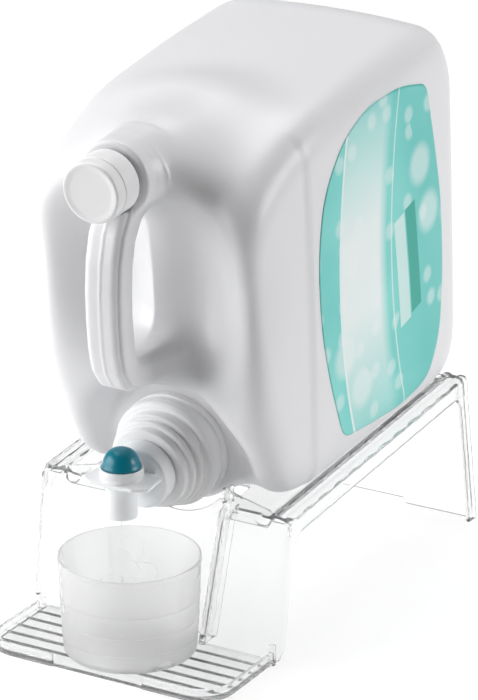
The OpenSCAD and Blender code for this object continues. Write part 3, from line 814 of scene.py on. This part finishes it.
JUG_WHITE = moulded("jug_white", srgb(229, 229, 231), 0.36, sss=0.12, radius=0.006, bump=0.05)
CLOSURE_WHITE = moulded("closure_white", srgb(236, 236, 237), 0.38, sss=0.1, radius=0.004, bump=0.03)
TAP_NATURAL = moulded("tap_natural", srgb(236, 238, 240), 0.3, sss=0.35, radius=0.006, bump=0.02)
BUTTON_TEAL = moulded("button_teal", srgb(0, 122, 142), 0.3, bump=0.05, spec=0.45)
SEAL_GREY = moulded("seal_grey", srgb(190, 192, 196), 0.6, bump=0.1, scale=1400)
SEAL_DARK = moulded("seal_dark", srgb(45, 46, 50), 0.55, bump=0.1, scale=1400)
SPRING_STEEL = metal("spring_steel", srgb(190, 192, 196), 0.2)
CUP_FROST = clear("cup_frosted", (1, 1, 1, 1), rough=0.3, transmission=0.78, ior=1.24, alpha=0.75)
CLEAR = clear("clear_plastic", (0.99, 0.995, 0.997, 1), rough=0.01, transmission=0.92, ior=1.27)
LABEL_FILM = label_material()


def dress(obj, mat, body, slot, *nodes):
    obj.data.materials.clear()
    obj.data.materials.append(mat)
    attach(obj, body)
    if nodes:
        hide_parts(*nodes)
    return obj


def dress_node(name, mat):
    """Keeps a CAD node as it is and gives it a finish."""
    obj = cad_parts[name]
    obj.data.materials.clear()
    obj.data.materials.append(mat)


def make_spring():
    """One round wire wound from end to end, closed flat at both ends."""
    r, wire, turns = 5.0, 0.6, 7.5
    low, high = SPRING_FOOT, BUTTON_FOOT - 0.05
    steps, sides = 360, 10
    points, faces = [], []
    for i in range(steps + 1):
        q = i / steps
        a = 2 * math.pi * turns * q
        climb = min(max((q - 0.09) / 0.82, 0), 1)
        z = low + wire + (high - low - 2 * wire) * climb
        c = Vector((r * math.cos(a), r * math.sin(a), z))
        out = Vector((math.cos(a), math.sin(a), 0))
        for k in range(sides):
            b = 2 * math.pi * k / sides
            points.append(c + wire * (math.cos(b) * out + math.sin(b) * Vector((0, 0, 1))))
    for i in range(steps):
        for k in range(sides):
            n = (k + 1) % sides
            faces.append((i * sides + k, i * sides + n, (i + 1) * sides + n, (i + 1) * sides + k))
    faces.append(tuple(range(sides - 1, -1, -1)))
    faces.append(tuple(steps * sides + k for k in range(sides)))
    return new_object("button_spring_coil", [tuple(q) for q in points], faces, IN_NOZZLE)


# ---------- the object ----------
dress(make_jug(), JUG_WHITE, "jug", "jug_white", "bottle_shell")
dress(make_label("label_film_right", 1), LABEL_FILM, "jug", "label_film", "label_right")
dress(make_label("label_film_left", -1), LABEL_FILM, "jug", "label_film", "label_left")
dress(make_closure(), CLOSURE_WHITE, "jug", "closure_white", "tap_closure")
dress(make_tap(), TAP_NATURAL, "jug", "tap_natural", "tap_body")
dress(make_button(), BUTTON_TEAL, "button", "button_teal", "push_button")
dress(make_vent_cap(), CLOSURE_WHITE, "vent", "closure_white", "vent_cap")
dress(make_cup(), CUP_FROST, "cup", "cup_frosted", "dosing_cup")
dress(make_cradle(), CLEAR, "cradle", "clear_plastic",
      "rail_right", "rail_left", "deck", "bottle_stops", "front_panel", "rear_panel")
dress(make_shelf(), CLEAR, "cradle", "clear_plastic", "shelf_tray", "shelf_ribs", "shelf_pegs")
dress_node("neck_gasket", SEAL_GREY)
dress_node("vent_liner", SEAL_GREY)
dress_node("valve_stem", CLOSURE_WHITE)
dress_node("valve_seal", SEAL_DARK)
coil = dress(make_spring(), SPRING_STEEL, "jug", "spring_steel", "button_spring")
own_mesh(coil)


# ---------- floor, light and camera ----------
def floor():
    m, t, p = material("floor")
    put(t, p.inputs["Base Color"], (0.32, 0.32, 0.32, 1))
    put(t, p.inputs["Roughness"], 0.9)
    put(t, p.inputs["Emission Color"], (1, 1, 1, 1))
    # a soft glow whitens the floor; it weakens ahead of the object, to the front right
    spot = add(t, "ShaderNodeSeparateXYZ", Vector=add(t, "ShaderNodeTexCoord").outputs["Object"])
    fore = maths(t, "MULTIPLY", spot.outputs[1], 0.87)
    fore = maths(t, "MULTIPLY_ADD", spot.outputs[0], -0.5, fore)
    glow = maths(t, "MULTIPLY_ADD", fore, 2.6, 1.4, True)
    put(t, p.inputs["Emission Strength"], maths(t, "MULTIPLY_ADD", glow, 0.56, 0.22))
    r, under = 9.0, -0.0004
    corners = [(-r, -r, under), (r, -r, under), (r, r, under), (-r, r, under)]
    mesh = bpy.data.meshes.new("floor")
    mesh.from_pydata(corners, [], [(0, 1, 2, 3)])
    obj = bpy.data.objects.new("floor", mesh)
    mesh.materials.append(m)
    bpy.context.scene.collection.objects.link(obj)


def softbox(name, place, aim, size, power):
    light = bpy.data.lights.new(name, "AREA")
    light.shape = "RECTANGLE"
    light.size, light.size_y = size
    light.energy = power
    obj = bpy.data.objects.new(name, light)
    bpy.context.scene.collection.objects.link(obj)
    obj.location = place
    obj.rotation_euler = (Vector(aim) - Vector(place)).to_track_quat("-Z", "Y").to_euler()


floor()
middle = (0.0, -0.05, 0.2)
softbox("key", (-1.8, -1.4, 0.85), middle, (2.5, 1.6), 60)
softbox("top", (-0.4, 0.4, 2.2), middle, (1.6, 1.4), 33)
softbox("right", (2.0, 0.9, 0.8), middle, (1.0, 1.0), 24)

world = bpy.data.worlds.new("studio")
bpy.context.scene.world = world
world.use_nodes = True
tree = world.node_tree
background = tree.nodes["Background"]
direction = add(tree, "ShaderNodeTexCoord").outputs["Generated"]
height = add(tree, "ShaderNodeSeparateXYZ", Vector=direction).outputs[2]
up = maths(tree, "MULTIPLY_ADD", height, 0.9, 0.25, True)
put(tree, background.inputs[0], blend(tree, up, (0.30, 0.31, 0.33, 1), (1, 1, 1, 1)))
background.inputs[1].default_value = 0.07

scene = bpy.context.scene
scene.view_settings.view_transform = "Standard"
lens = bpy.data.cameras.new("camera")
lens.sensor_fit = "VERTICAL"
lens.sensor_height = 36
lens.lens = 205.714
camera = bpy.data.objects.new("camera", lens)
scene.collection.objects.link(camera)
camera.location = (1.1831, -2.04092, 1.05843)
target = Vector((0.0611, -0.0991, 0.2033))
camera.rotation_euler = (target - camera.location).to_track_quat("-Z", "Y").to_euler()
scene.camera = camera
